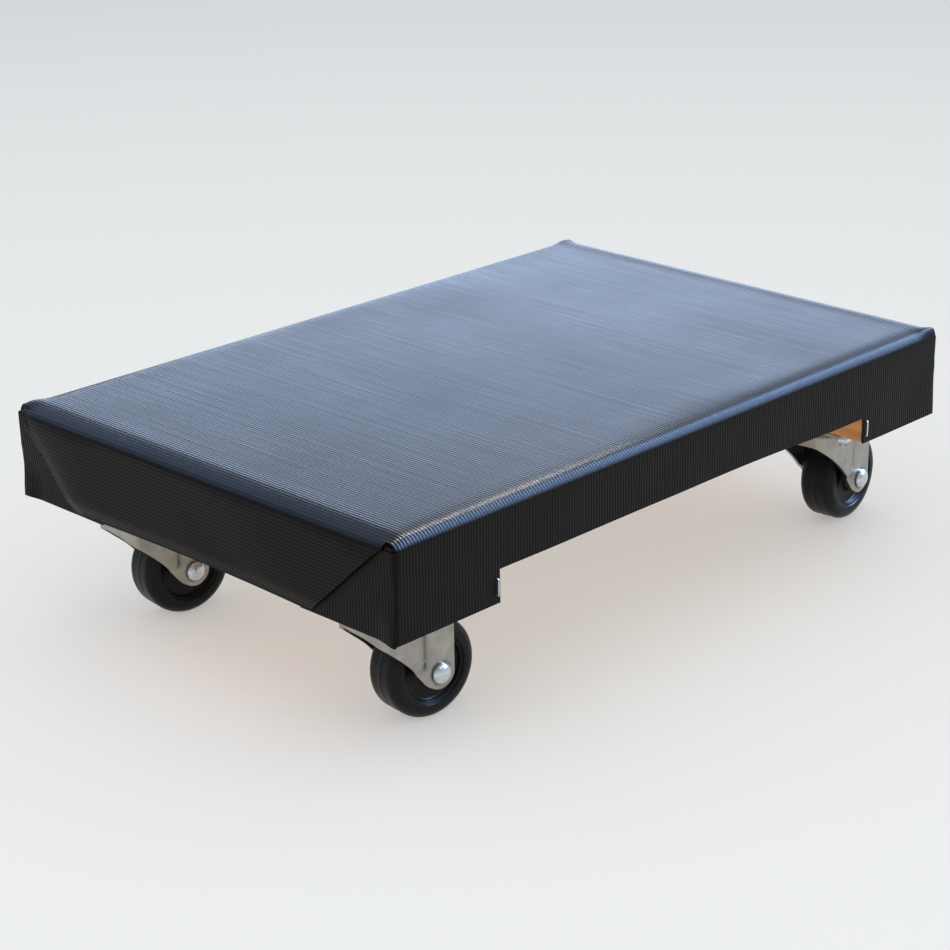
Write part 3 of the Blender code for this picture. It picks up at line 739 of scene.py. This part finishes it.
def make_mat(rubber):
    """The ribbed mat: one sheet over the deck, down its sides and, folded, over its ends."""
    mat = MatMesh()
    last_row = len(ROWS) - 1
    for column in range(-WRAP_COLUMN, WRAP_COLUMN):
        for row in range(-last_row, last_row):
            if not has_face(column, row):
                continue
            quad = []
            for c, r in ((column, row), (column + 1, row), (column + 1, row + 1), (column, row + 1)):
                across = math.copysign(ROWS[abs(r)], r)
                quad.append(mat.point((c, r), mat_point(c, r), c * RIB_STEP, across))
            mat.faces += (quad[:3], (quad[0], quad[2], quad[3]))
    add_tucks(mat)
    ribbed = run_tree(mat.mesh(), rib_tree(), Rib_Pitch=RIB_PITCH, Rib_Height=RIB_HEIGHT, Material=rubber)
    obj = link_mesh("mat", ribbed)
    solid = obj.modifiers.new("thickness", "SOLIDIFY")
    solid.thickness = MAT_THICKNESS
    solid.offset = -1.0
    piece = finish_piece("rubber_mat", shade(mesh_of(obj), 60), rubber, "deck", "cover_rubber", "rubber_cover")


# ---------------------------------------------------------------- the wood under the mat
def under_mat(x, y):
    """The highest the wood may stand at that place, under the mat."""
    down = LONG.down_at(abs(y) - SIDE_START) + END.down_at(abs(x) - END_START)
    return TOP - down - MAT_THICKNESS - 0.9 * MM


def make_planks(wood):
    """The deck's three planks, their outer arrises eased where the mat turns over them."""
    for number in (1, 2, 3):
        low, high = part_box(f"deck_board_{number}")
        inner = END_START - 2 * MM
        xs = [high.x - i * (high.x - inner) / 12 for i in range(12)]
        xs = [-x for x in xs] + [mix(-inner, inner, i / 16) for i in range(17)] + xs[::-1]
        ys = [mix(low.y, high.y, i / 28) for i in range(29)]
        bm = bmesh.new()
        top = [[bm.verts.new((x, y, min(high.z, under_mat(x, y)))) for y in ys] for x in xs]
        base = [[bm.verts.new((x, y, low.z)) for y in ys] for x in xs]
        for sheet in (top, base):
            for a, b in zip(sheet, sheet[1:]):
                for i in range(len(ys) - 1):
                    bm.faces.new((a[i], b[i], b[i + 1], a[i + 1]))
        for edge in ((top[0], base[0]), (top[-1], base[-1]),
                     ([a[0] for a in top], [a[0] for a in base]),
                     ([a[-1] for a in top], [a[-1] for a in base])):
            for i in range(len(edge[0]) - 1):
                bm.faces.new((edge[0][i], edge[0][i + 1], edge[1][i + 1], edge[1][i]))
        bmesh.ops.recalc_face_normals(bm, faces=bm.faces)
        plank = shade(rounded(mesh_from("plank", bm), 0.8 * MM))
        finish_piece(f"deck_plank_{number}", plank, wood, "deck", "deck_wood", f"deck_board_{number}")


# ---------------------------------------------------------------- casters, made with the kingpin at the origin
PIN_X, PIN_Y = ((pin_low + pin_high) / 2).xy
WHEEL_RADIUS = (wheel_high.z - wheel_low.z) / 2
AXLE_Z = wheel_low.z + WHEEL_RADIUS
TRAIL = math.dist((PIN_X, PIN_Y), ((wheel_low + wheel_high) / 2).xy)
SHEET = 2.6 * MM
PLATE_UNDERSIDE = plate_high.z - SHEET
WHEEL_HALF = 15.875 * MM
LEG_OUTER = WHEEL_HALF + 4 * MM + SHEET
FORK_FRONT = 31 * MM
FORK_CORNER = 12 * MM
CROWN_TOP = cup_high.z + 0.3 * MM + SHEET
BOSS = 12.5  # millimetres
RACE_BORE = 6.1 * MM
RACE_RADIUS = 16 * MM
PLATE_CORNER = 8 * MM
HOLE_FROM_END = 11.1 * MM
HOLE_FROM_SIDE = 9.5 * MM
HOLE_RADIUS = 3.7 * MM
BALL_COUNT = 22
BALL_RADIUS = 2.5 * MM
BALL_RING_RADIUS = 19 * MM
STAPLE_WIRE_RADIUS = 0.6 * MM
# The leg's lower edge from its front lip to its boss, in millimetres from the axle.
LEG_EDGE = ((-60.4, 42.0), (-55.5, 37.0), (-49, 31.2), (-42.5, 25.7), (-35, 19.2), (-27.8, 11.9),
            (-20.5, 2.8), (-13.2, -6.2), (-6.0, -11.0))


def fork_stations():
    """From a leg's rear edge to the middle of the front lip: plan place, outward direction, lowest z."""
    low = smooth_line([*LEG_EDGE, *arc((0, 0), BOSS, 250, 350, 9)], 1.3)
    low = [(TRAIL + x * MM, AXLE_Z + z * MM) for x, z in reversed(low)]
    table = sorted(low)
    start = FORK_CORNER - FORK_FRONT
    stations = [((x, LEG_OUTER), (0, 1), z) for x, z in low if x > start]
    centre = (start, LEG_OUTER - FORK_CORNER)
    for x, y in arc(centre, FORK_CORNER, 90, 180, 9):
        facing = ((x - centre[0]) / FORK_CORNER, (y - centre[1]) / FORK_CORNER)
        stations.append(((x, y), facing, between(table, x)))
    for share in (0.66, 0.33, 0):
        stations.append(((-FORK_FRONT, centre[1] * share), (-1, 0), table[0][1]))
    return stations


def leg_flare(x, z):
    """The front of each leg is pressed outwards, from a crease that ends in a round just above the boss."""
    from_axle = x - TRAIL
    ahead = smooth_step(12.5 * MM, 18.0 * MM, -from_axle) * smooth_step(-61 * MM, -48 * MM, from_axle)
    return 2.3 * MM * ahead * smooth_step(5 * MM, 10 * MM, z - AXLE_Z)


def painted_shade_at(x, y, z):
    """How much painted shade the sheet gets: along the crease, and as a painted shadow ring under the rim of
    the axle's head.
    """
    from_axle, above = x - TRAIL, z - AXLE_Z
    # Painted shade along the crease; below it, a painted shadow ring under the axle head's rim.
    crease = math.exp(-(((from_axle + 15.0 * MM) / (3.2 * MM)) ** 2)) * smooth_step(4 * MM, 9 * MM, above)
    rim = math.exp(-(((math.hypot(from_axle, above) - 8.4 * MM) / (0.9 * MM)) ** 2))
    return max(0.65 * crease, 0.8 * rim) if abs(y) > LEG_OUTER - 3 * MM else 0.0


def fork_mesh():
    """The pressed fork: crown, bends, front lip and two legs, as one sheet of even thickness."""
    half = fork_stations()
    stations = half + [((p[0], -p[1]), (n[0], -n[1]), z) for p, n, z in reversed(half[:-1])]
    bend, bend_steps, wall_steps = 4 * MM, 5, 28
    bm = bmesh.new()
    # Each point of the sheet holds how much painted shade it gets.
    shade_paint = bm.verts.layers.float.new("press_marks")
    grid = []
    for place, facing, lowest in stations:
        line = []
        for k in range(bend_steps + 1):
            angle = k / bend_steps * math.pi / 2
            line.append((bend * (1 - math.sin(angle)), CROWN_TOP - bend * (1 - math.cos(angle))))
        for k in range(1, wall_steps + 1):
            line.append((0.0, mix(CROWN_TOP - bend, lowest, k / wall_steps)))
        column = []
        for inset, z in line:
            outward = leg_flare(place[0], z) - inset
            column.append(bm.verts.new((place[0] + facing[0] * outward, place[1] + facing[1] * outward, z)))
            column[-1][shade_paint] = painted_shade_at(*column[-1].co)
        grid.append(column)
    for a, b in zip(grid, grid[1:]):
        for i in range(len(a) - 1):
            bm.faces.new((a[i], b[i], b[i + 1], a[i + 1]))
    crown_steps = 10
    rows = []
    for i in range(len(half)):
        left, right = grid[i][0], grid[-1 - i][0]
        if left is right:
            rows.append([left] * (crown_steps + 1))
            continue
        row = [left]
        for k in range(1, crown_steps):
            row.append(bm.verts.new(left.co.lerp(right.co, k / crown_steps)))
        rows.append(row + [right])
    for a, b in zip(rows, rows[1:]):
        for i in range(crown_steps):
            bm.faces.new(list(dict.fromkeys((a[i], b[i], b[i + 1], a[i + 1]))))
    bmesh.ops.recalc_face_normals(bm, faces=bm.faces)
    if max(bm.faces, key=lambda f: f.calc_center_median().z).normal.z < 0:
        bmesh.ops.reverse_faces(bm, faces=bm.faces)
    obj = link_mesh("fork_sheet", mesh_from("fork", bm))
    solid = obj.modifiers.new("sheet", "SOLIDIFY")
    solid.thickness = SHEET
    solid.offset = -1.0
    return shade(rounded(mesh_of(obj), 0.35 * MM, 2, 60), 50)


def along_axle(mesh):
    """Turns a mesh made about Z so that its top points along -Y, and sets it on the axle."""
    mesh.transform(Matrix.Translation((TRAIL, 0, AXLE_Z)) @ Matrix.Rotation(math.radians(90), 4, "X"))
    return mesh


def wheel_mesh():
    """The moulded wheel: round-shouldered tread with a parting line, stepped rim, dished web and hub."""
    rim = WHEEL_RADIUS - 11.5 * MM
    hub_half = LEG_OUTER - SHEET - 1.2 * MM
    corner = arc((WHEEL_RADIUS - 8 * MM, WHEEL_HALF - 8 * MM), 8 * MM, 84, 6, 9)
    near = [
        (6.8 * MM, hub_half - 0.4 * MM), (7.2 * MM, hub_half), (11.4 * MM, hub_half),
        (12.0 * MM, hub_half - 0.6 * MM), (12.6 * MM, WHEEL_HALF - 3.2 * MM),
        (13.6 * MM, WHEEL_HALF - 4.6 * MM), (15.5 * MM, WHEEL_HALF - 5.2 * MM),
        (rim - 4.4 * MM, WHEEL_HALF - 5.4 * MM), (rim - 3.1 * MM, WHEEL_HALF - 5.0 * MM),
        (rim - 2.3 * MM, WHEEL_HALF - 4.0 * MM), (rim - 2.0 * MM, WHEEL_HALF - 2.3 * MM),
        (rim - 1.6 * MM, WHEEL_HALF - 1.9 * MM), (rim - 0.4 * MM, WHEEL_HALF - 1.7 * MM),
        (rim, WHEEL_HALF - 1.3 * MM), (rim + 0.1 * MM, WHEEL_HALF - 0.5 * MM),
        (rim + 0.5 * MM, WHEEL_HALF - 0.15 * MM), (rim + 1.6 * MM, WHEEL_HALF),
    ]
    tread = [(WHEEL_RADIUS - 0.35 * MM, 5.5 * MM), (WHEEL_RADIUS - 0.2 * MM, 2.0 * MM),
             (WHEEL_RADIUS - 0.15 * MM, 0.45 * MM), (WHEEL_RADIUS, 0.2 * MM)]
    half = near + corner + tread
    profile = half + [(r, -h) for r, h in reversed(half)]
    return along_axle(shade(lathe("wheel", profile, 112, closed=True), 50))


def axle_mesh():
    """The axle rivet: a high dome on the left leg, a lower peened end on the right."""
    head = LEG_OUTER + 0.3 * MM
    dome = [(8 * MM * r, head + 0.5 * MM + 4.7 * MM * z) for r, z in arc((0, 0), 1, 90, 0, 14)]
    dome[0] = (0, head + 5.2 * MM)
    tail = [(7 * MM * r, -head - 0.4 * MM - 2.6 * MM * z) for r, z in arc((0, 0), 1, 0, 90, 10)]
    tail[-1] = (0, -head - 3.0 * MM)
    ring = [(7.8 * MM, head), (4.76 * MM, head), (4.76 * MM, -head), (6.8 * MM, -head)]
    return along_axle(shade(lathe("axle", dome + ring + tail, 48), 50))


def bushing_mesh():
    half = LEG_OUTER - SHEET - 0.3 * MM
    inner, outer, ease = 5.16 * MM, 6.36 * MM, 0.3 * MM
    profile = [(inner, half - ease), (inner + ease, half), (outer - ease, half), (outer, half - ease),
               (outer, ease - half), (outer - ease, -half), (inner + ease, -half), (inner, ease - half)]
    return along_axle(shade(lathe("bushing", profile, 40, closed=True)))


def plate_mesh():
    """The top plate: rounded corners, four bolt holes, and the pan pressed down round the kingpin."""
    half_x, half_y = (plate_high.x - plate_low.x) / 2, (plate_high.y - plate_low.y) / 2
    curve = bpy.data.curves.new("plate", "CURVE")
    curve.dimensions = "2D"
    curve.fill_mode = "BOTH"
    ease = 0.4 * MM
    curve.extrude = SHEET / 2 - ease
    curve.bevel_depth = ease
    curve.bevel_resolution = 2
    curve.offset = -ease
    outline = []
    for sx, sy, start in ((1, 1, 0), (-1, 1, 90), (-1, -1, 180), (1, -1, 270)):
        centre = (sx * (half_x - PLATE_CORNER), sy * (half_y - PLATE_CORNER))
        outline += arc(centre, PLATE_CORNER, start, start + 90, 8)
    holes = [arc((sx * (half_x - HOLE_FROM_END), sy * (half_y - HOLE_FROM_SIDE)), HOLE_RADIUS, 0, -345, 23)
             for sx in (-1, 1) for sy in (-1, 1)]
    holes.append(arc((0, 0), 15 * MM, 0, -352.5, 47))
    for loop in (outline, *holes):
        spline = curve.splines.new("POLY")
        spline.points.add(len(loop) - 1)
        for point, (x, y) in zip(spline.points, loop):
            point.co = (x, y, 0, 1)
        spline.use_cyclic_u = True
    obj = link_mesh("plate", curve)
    flat = mesh_of(obj)
    flat.transform(Matrix.Translation((0, 0, plate_high.z - SHEET / 2)))
    pan_bottom, hole, radius = CROWN_TOP + 0.5 * MM, RACE_BORE, RACE_RADIUS
    pan = [(hole, pan_bottom), (radius - 2 * MM, pan_bottom), (radius - 0.6 * MM, pan_bottom + 0.6 * MM),
           (radius, pan_bottom + 2 * MM), (radius, PLATE_UNDERSIDE + SHEET / 2),
           (radius - SHEET, plate_high.z - 0.4 * MM), (radius - SHEET, pan_bottom + SHEET),
           (hole, pan_bottom + SHEET)]
    return joined("plate", [shade(flat, 40), shade(lathe("pan", pan, 56, closed=True), 50)])


def kingpin_mesh():
    head, tail, stem = 11 * MM, 9 * MM, 5.5 * MM
    profile = [(0, pin_high.z), (head - 2 * MM, pin_high.z), (head - 0.6 * MM, pin_high.z - 0.5 * MM),
               (head, pin_high.z - 1.4 * MM), (head, pin_high.z - 3.4 * MM), (stem, pin_high.z - 3.4 * MM),
               (stem, pin_low.z + 3.4 * MM), (tail - 0.3 * MM, pin_low.z + 3.4 * MM),
               (tail, pin_low.z + 2.9 * MM),
               (tail - 0.5 * MM, pin_low.z + 1.4 * MM), (tail - 2 * MM, pin_low.z + 0.4 * MM),
               (tail - 4 * MM, pin_low.z), (0, pin_low.z)]
    return shade(lathe("kingpin", profile, 48), 50)


def cup_mesh():
    bore, radius = RACE_BORE, RACE_RADIUS
    profile = [(bore, cup_high.z), (radius - 0.6 * MM, cup_high.z), (radius, cup_high.z - 0.5 * MM),
               (radius, cup_high.z - 1.4 * MM), (radius - 0.6 * MM, cup_high.z - 2.4 * MM),
               (12.4 * MM, cup_low.z + 0.5 * MM), (11.2 * MM, cup_low.z), (bore, cup_low.z)]
    return shade(lathe("cup", profile, 56, closed=True), 50)


def bolt_mesh():
    """A carriage bolt and its nut: low round head, threaded end."""
    radius, pitch = 3.18 * MM, 1.27 * MM
    nut_top = PLATE_UNDERSIDE - 0.05 * MM
    nut_low = nut_top - 5.2 * MM
    head = [(0, bolt_high.z), (3.2 * MM, bolt_high.z - 0.35 * MM), (5.6 * MM, bolt_high.z - 1.3 * MM),
            (7 * MM, bolt_high.z - 2.9 * MM), (6.9 * MM, bolt_high.z - 3 * MM), (radius, bolt_high.z - 3 * MM)]
    thread = [(radius, PLATE_UNDERSIDE)]
    height = nut_top
    while height - pitch > bolt_low.z + 0.5 * MM:
        thread += [(radius, height), (radius - 0.55 * MM, height - pitch / 2)]
        height -= pitch
    thread += [(radius, height), (radius * 0.72, bolt_low.z), (0, bolt_low.z)]
    across = 6.3 * MM
    nut = [(3.4 * MM, nut_top), (across * 0.88, nut_top), (across, nut_top - 0.7 * MM),
           (across, nut_low + 0.7 * MM), (across * 0.88, nut_low), (3.4 * MM, nut_low)]
    return joined("bolt", [shade(lathe("shank", head + thread, 24), 30),
                           shade(rounded(lathe("nut", nut, 6, closed=True), 0.25 * MM), 30)])


def staple_mesh():
    """A wire staple driven into the side at the origin: flat-topped crown upright, legs running along +Y."""
    crown, leg, bend = 12.7 * MM, 9.5 * MM, 1.1 * MM
    line = [(leg, 0)]
    line += arc((bend, -bend), bend, 90, 180, 5)
    line += arc((bend, bend - crown), bend, 180, 270, 5)
    line.append((leg, -crown))
    curve = bpy.data.curves.new("staple", "CURVE")
    curve.dimensions = "3D"
    curve.bevel_depth = STAPLE_WIRE_RADIUS
    curve.bevel_resolution = 3
    curve.use_fill_caps = True
    spline = curve.splines.new("POLY")
    spline.points.add(len(line) - 1)
    for point, (y, z) in zip(spline.points, line):
        point.co = (0, y, z, 1)
    return mesh_of(link_mesh("staple", curve))


def make_casters(zinc, steel, tyre):
    plate, kingpin, cup, fork = plate_mesh(), kingpin_mesh(), cup_mesh(), fork_mesh()
    axle, bushing, wheel = axle_mesh(), bushing_mesh(), wheel_mesh()
    balls = run_tree(bpy.data.meshes.new("balls"), ball_tree(), Balls=BALL_COUNT,
                     Ring_Radius=BALL_RING_RADIUS, Ball_Radius=BALL_RADIUS, Material=steel)
    balls.transform(Matrix.Translation((0, 0, CROWN_TOP + 3.0 * MM)))
    shade(balls, 60)
    for corner in CORNERS:
        pin = sum(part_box(f"kingpin_{corner}"), Vector()) / 2
        hub = sum(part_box(f"wheel_{corner}"), Vector()) / 2
        fixed = Matrix.Translation((pin.x, pin.y, 0))
        turned = fixed @ Matrix.Rotation(math.atan2(hub.y - pin.y, hub.x - pin.x), 4, "Z")
        for name, mesh, shader, slot in (("top_plate", plate, zinc, "zinc_sheet"),
                                         ("kingpin", kingpin, steel, "bright_steel"),
                                         ("race_cup", cup, zinc, "zinc_sheet")):
            finish_piece(f"zinc_{name}_{corner}", placed(mesh, fixed), shader, "deck", slot, f"{name}_{corner}")
        for name, mesh, shader, slot in (("fork", fork, zinc, "zinc_sheet"),
                                         ("ball_ring", balls, steel, "bright_steel"),
                                         ("axle", axle, steel, "bright_steel"),
                                         ("bushing", bushing, steel, "bright_steel")):
            finish_piece(f"pressed_{name}_{corner}", placed(mesh, turned), shader, f"swivel_{corner}", slot,
                         f"{name}_{corner}")
        finish_piece(f"rubber_wheel_{corner}", placed(wheel, turned), tyre, f"wheel_{corner}", "wheel_rubber",
                     f"wheel_{corner}")


def make_fixings(steel):
    """Bolts and staples, each set where the frame has its node."""
    names = [name for name in frame["nodes"] if name.startswith("bolt_")]
    places = []
    for name in names:
        centre = sum(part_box(name), Vector()) / 2
        places.append((centre.x, centre.y, 0, math.radians(37 * len(places))))
    set_fixings("carriage_bolts", bolt_mesh(), places, steel, names)
    names = [name for name in frame["nodes"] if name.startswith("staple_")]
    places = []
    for name in names:
        low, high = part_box(name)
        left = low.y < 0
        places.append(((low.x + high.x) / 2, low.y if left else high.y, high.z - STAPLE_WIRE_RADIUS,
                       0 if left else math.pi))
    set_fixings("wire_staples", staple_mesh(), places, steel, names)


# ---------------------------------------------------------------- camera, lights, floor
CAMERA_PLACE = (-1.323, -1.269, 0.7906)
CAMERA_AZIMUTH = -45.65
CAMERA_ELEVATION = 21.14
CAMERA_ROLL = -0.73
CAMERA_LENS = 92.5


def make_camera():
    data = bpy.data.cameras.new("camera")
    data.lens = CAMERA_LENS
    data.sensor_width = 36.0
    camera = link_mesh("camera", data)
    a, e, roll = (math.radians(v) for v in (CAMERA_AZIMUTH, CAMERA_ELEVATION, CAMERA_ROLL))
    back = Vector((math.sin(a) * math.cos(e), -math.cos(a) * math.cos(e), math.sin(e)))
    level = Vector((math.cos(a), math.sin(a), 0))
    upright = back.cross(level)
    right = math.cos(roll) * level + math.sin(roll) * upright
    up = back.cross(right)
    turned = Matrix((right, up, back)).transposed().to_4x4()
    camera.matrix_world = Matrix.Translation(CAMERA_PLACE) @ turned
    bpy.context.scene.camera = camera


# Soft lights round the dolly: name, the place they face, compass direction and height in degrees,
# distance, half their width and height in degrees, and their radiance.
MIDDLE = (0, 0, 0)
FRONT_EDGE = (-0.28, -0.203, 0.174)
SOFTBOXES = (
    ("hazy_sky", MIDDLE, 36, 14, 4.0, 25, 11.5, (2.75, 3.6, 5.2)),
    ("blue_sky", MIDDLE, -20, 43, 4.0, 24, 9, (15.0, 24.0, 42.0)),
    ("low_sky", MIDDLE, -46, 24, 4.0, 16, 9, (1.8, 2.4, 3.8)),
    ("dim_sky", MIDDLE, 105, 40, 4.0, 30, 20, (0.8, 1.3, 2.5)),
    ("low_sun", FRONT_EDGE, 28, 42, 0.7, 4, 4, (110.0, 112.0, 118.0)),
)


def softbox(name, facing, azimuth, elevation, distance, half_width, half_height, radiance):
    """A soft light that faces a place from a compass direction."""
    data = bpy.data.lights.new(name, "AREA")
    data.shape = "RECTANGLE"
    data.size = 2 * distance * math.tan(math.radians(half_width))
    data.size_y = 2 * distance * math.tan(math.radians(half_height))
    data.energy = math.pi * data.size * data.size_y
    data.color = radiance
    lamp = link_mesh(name, data)
    a, e = math.radians(azimuth), math.radians(elevation)
    away = Vector((math.cos(a) * math.cos(e), math.sin(a) * math.cos(e), math.sin(e)))
    lamp.location = Vector(facing) + away * distance
    lamp.rotation_euler = away.to_track_quat("Z", "Y").to_euler()
    lamp.visible_camera = False
    return lamp


def make_stage():
    scene = bpy.context.scene
    scene.view_settings.view_transform = "Standard"
    world = bpy.data.worlds.new("studio")
    scene.world = world
    world.use_nodes = True
    world.node_tree.nodes["Background"].inputs["Color"].default_value = (0.90, 0.95, 1.0, 1.0)
    world.node_tree.nodes["Background"].inputs["Strength"].default_value = 0.55
    bm = bmesh.new()
    bmesh.ops.create_grid(bm, x_segments=1, y_segments=1, size=30)
    mesh = mesh_from("floor", bm)
    mesh.materials.append(pale_floor())
    floor = link_mesh("floor", mesh)
    overhead = softbox("overhead", MIDDLE, -135, 78, 4.0, 34, 34, (1.25, 1.23, 1.2))
    floor_only = bpy.data.collections.new("shadows_from_overhead")
    floor_only.objects.link(floor)
    overhead.light_linking.blocker_collection = floor_only
    dolly_only = bpy.data.collections.new("lit_by_softboxes")
    for settings in SOFTBOXES:
        softbox(*settings).light_linking.receiver_collection = dolly_only
    return floor, dolly_only


def main():
    make_camera()
    floor, dolly_only = make_stage()
    rubber = calendered_rubber()
    tyre = hard_rubber()
    zinc = zinc_sheet()
    steel = zinc_hardware()
    planks = varnished_hardwood("pale_varnished_planks", 0, "#9A8E7B", "#B5A993")
    rails = varnished_hardwood("varnished_hardwood_rails", 0, "#8F7354", "#AE9069")
    cleats = varnished_hardwood("varnished_hardwood_cleats", 1, "#A05A26", "#DC9850")
    kept = {"side_rail": rails, "end_cleat": cleats}
    for name, node in frame["nodes"].items():
        node.data.materials.clear()
        node.data.materials.append(next((s for prefix, s in kept.items() if name.startswith(prefix)), zinc))
    make_planks(planks)
    make_mat(rubber)
    make_casters(zinc, steel, tyre)
    make_fixings(steel)
    for obj in bpy.context.scene.objects:
        if obj.type == "MESH" and obj is not floor:
            dolly_only.objects.link(obj)


main()
